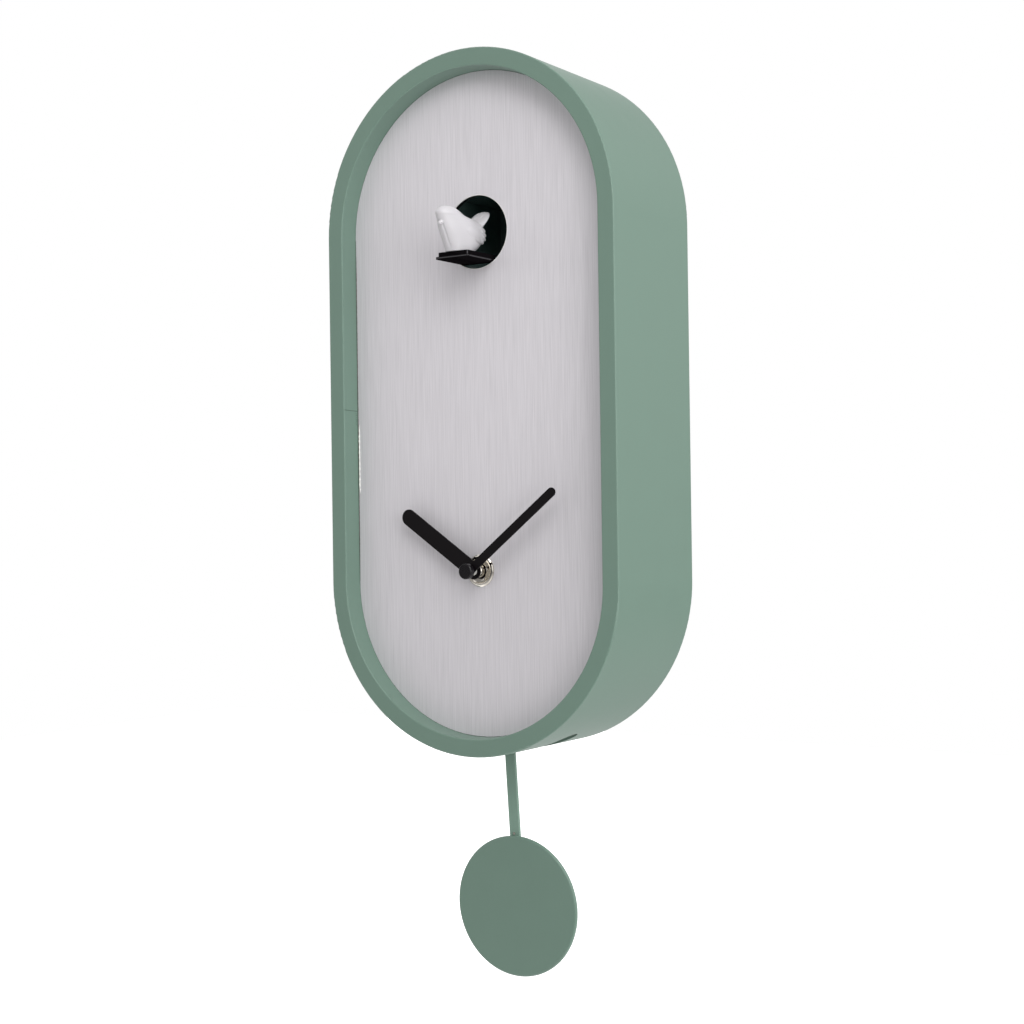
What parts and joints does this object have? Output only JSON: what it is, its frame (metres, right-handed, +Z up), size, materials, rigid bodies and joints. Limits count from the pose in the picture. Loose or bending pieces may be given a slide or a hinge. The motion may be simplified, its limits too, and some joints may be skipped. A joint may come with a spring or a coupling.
{
  "type": "cuckoo clock",
  "caption": "Wall cuckoo clock in a tall rounded case: recessed brushed dial, plain hands, a bird on a sliding tray and a disc pendulum swinging below.",
  "frame": {"origin": "middle of the case back on the wall plane", "axes": "+Z up, -Y out of the wall towards the viewer, +X to the viewer's right"},
  "size_m": [0.2, 0.1148, 0.5423],
  "materials": {
    "bird_white": "gloss white",
    "black": "satin black",
    "black_board": "black core",
    "board": "green solder mask",
    "brass": "turned",
    "brushed": "fine vertical brushing",
    "case_paint": "satin grey-green lacquer over fibreboard",
    "cell": "plain blue sleeve",
    "chrome": "bright nickel",
    "copper": "enamelled copper winding",
    "green_metal": "satin grey-green lacquer",
    "grey": "light grey",
    "hand_black": "satin black enamel",
    "house": "gloss black",
    "magnet": "ferrite",
    "motor": "nickel plated can",
    "panel": "fine moulded texture",
    "paper": "pressed black paper",
    "red": "red",
    "rubber": "moulded",
    "spring": "nickel plated",
    "steel": "ground steel",
    "white_gear": "natural acetal",
    "wood": "planed softwood",
    "zinc": "zinc plated"
  },
  "bodies": {
    "case": {"case_upper": "case_paint", "case_lower": "case_paint", "back_blocks": "wood", "back_panel": "panel", "back_screws": "zinc", "battery_box": "black", "battery_springs": "spring", "bird_house": "house", "bird_motor": "motor", "board_posts": "panel", "bracket_screws": "zinc", "control_board": "board", "cuckoo_batteries": "cell", "dial_backer": "black_board", "dial_blocks": "wood", "dial_plate": "brushed", "dial_washer": "chrome", "drive_screws": "zinc", "gear_bracket": "zinc", "hanger_plate": "zinc", "hanger_rivets": "zinc", "hex_nut": "chrome", "movement_battery": "cell", "movement_coil": "copper", "movement_contacts": "spring", "movement_front": "black", "movement_gasket": "rubber", "movement_rear": "black", "movement_stator": "steel", "pendulum_drive_case": "black", "pendulum_drive_coil": "copper", "rocker_pin": "steel", "speaker_cone": "paper", "speaker_frame": "zinc", "speaker_magnet": "magnet", "threaded_bushing": "chrome"},
    "hour": {"hour_wheel": "white_gear", "hour_hand": "hand_black"},
    "minute": {"minute_arbor": "steel", "minute_hand": "hand_black", "hand_cap": "black"},
    "motion": {"motion_wheel": "white_gear", "setting_knob": "black"},
    "rotor": {"movement_rotor": "white_gear"},
    "step": {"step_wheel": "white_gear"},
    "pendulum": {"pendulum_rod": "green_metal", "pendulum_bob": "green_metal", "pendulum_rocker": "white_gear", "rocker_magnet": "magnet", "rod_rivet": "chrome", "bob_clip": "spring"},
    "bird_carriage": {"bird_tray": "black", "bird": "bird_white"},
    "drive_gear": {"drive_wheel": "white_gear", "rack_pinion": "white_gear", "drive_axle": "steel"},
    "motor_rotor": {"motor_pinion": "brass"},
    "door": {"service_door": "panel"},
    "slider": {"volume_slider": "grey"},
    "button": {"test_button": "red"}
  },
  "joints": [
    {"name": "hour_spin", "type": "hinge", "parent": "case", "child": "hour", "pos_m": [0, -0.08, -0.0975], "axis": [0, 1, 0], "continuous": true},
    {"name": "minute_spin", "type": "hinge", "parent": "case", "child": "minute", "pos_m": [0, -0.08, -0.0975], "axis": [0, 1, 0], "continuous": true},
    {"name": "motion_spin", "type": "hinge", "parent": "case", "child": "motion", "pos_m": [0.012, -0.06, -0.0975], "axis": [0, 1, 0], "continuous": true},
    {"name": "step_spin", "type": "hinge", "parent": "case", "child": "step", "pos_m": [-0.013, -0.058, -0.0881], "axis": [0, 1, 0], "continuous": true},
    {"name": "rotor_spin", "type": "hinge", "parent": "case", "child": "rotor", "pos_m": [-0.0192, -0.058, -0.0845], "axis": [0, 1, 0], "continuous": true},
    {"name": "pendulum_swing", "type": "hinge", "parent": "case", "child": "pendulum", "pos_m": [0, -0.052, -0.135], "axis": [0, 1, 0], "range_deg": [-16.7, 23.3]},
    {"name": "bird_slide", "type": "slide", "parent": "case", "child": "bird_carriage", "axis": [0, -1, 0], "range_m": [-0.042, 0]},
    {"name": "drive_spin", "type": "hinge", "parent": "case", "child": "drive_gear", "pos_m": [0, -0.0545, 0.0767], "axis": [1, 0, 0], "range_deg": [-403, 2]},
    {"name": "motor_spin", "type": "hinge", "parent": "case", "child": "motor_rotor", "pos_m": [0.02, -0.0545, 0.0642], "axis": [1, 0, 0], "range_deg": [-8, 1612]},
    {"name": "door_lift", "type": "slide", "parent": "case", "child": "door", "axis": [0, 1, 0], "range_m": [0, 0.03]},
    {"name": "volume_slide", "type": "slide", "parent": "case", "child": "slider", "axis": [1, 0, 0], "range_m": [-0.004, 0.004]},
    {"name": "button_press", "type": "slide", "parent": "case", "child": "button", "axis": [0, -1, 0], "range_m": [0, 0.001], "stiffness_N_per_m": 400}
  ],
  "couplings": [
    {"joint": "hour_spin", "follows": "minute_spin", "ratio": 0.083333},
    {"joint": "motion_spin", "follows": "minute_spin", "ratio": -0.33333},
    {"joint": "rotor_spin", "follows": "step_spin", "ratio": -5},
    {"joint": "drive_spin", "follows": "bird_slide", "rad_per_m": 166.67},
    {"joint": "motor_spin", "follows": "bird_slide", "rad_per_m": -666.67}
  ]
}
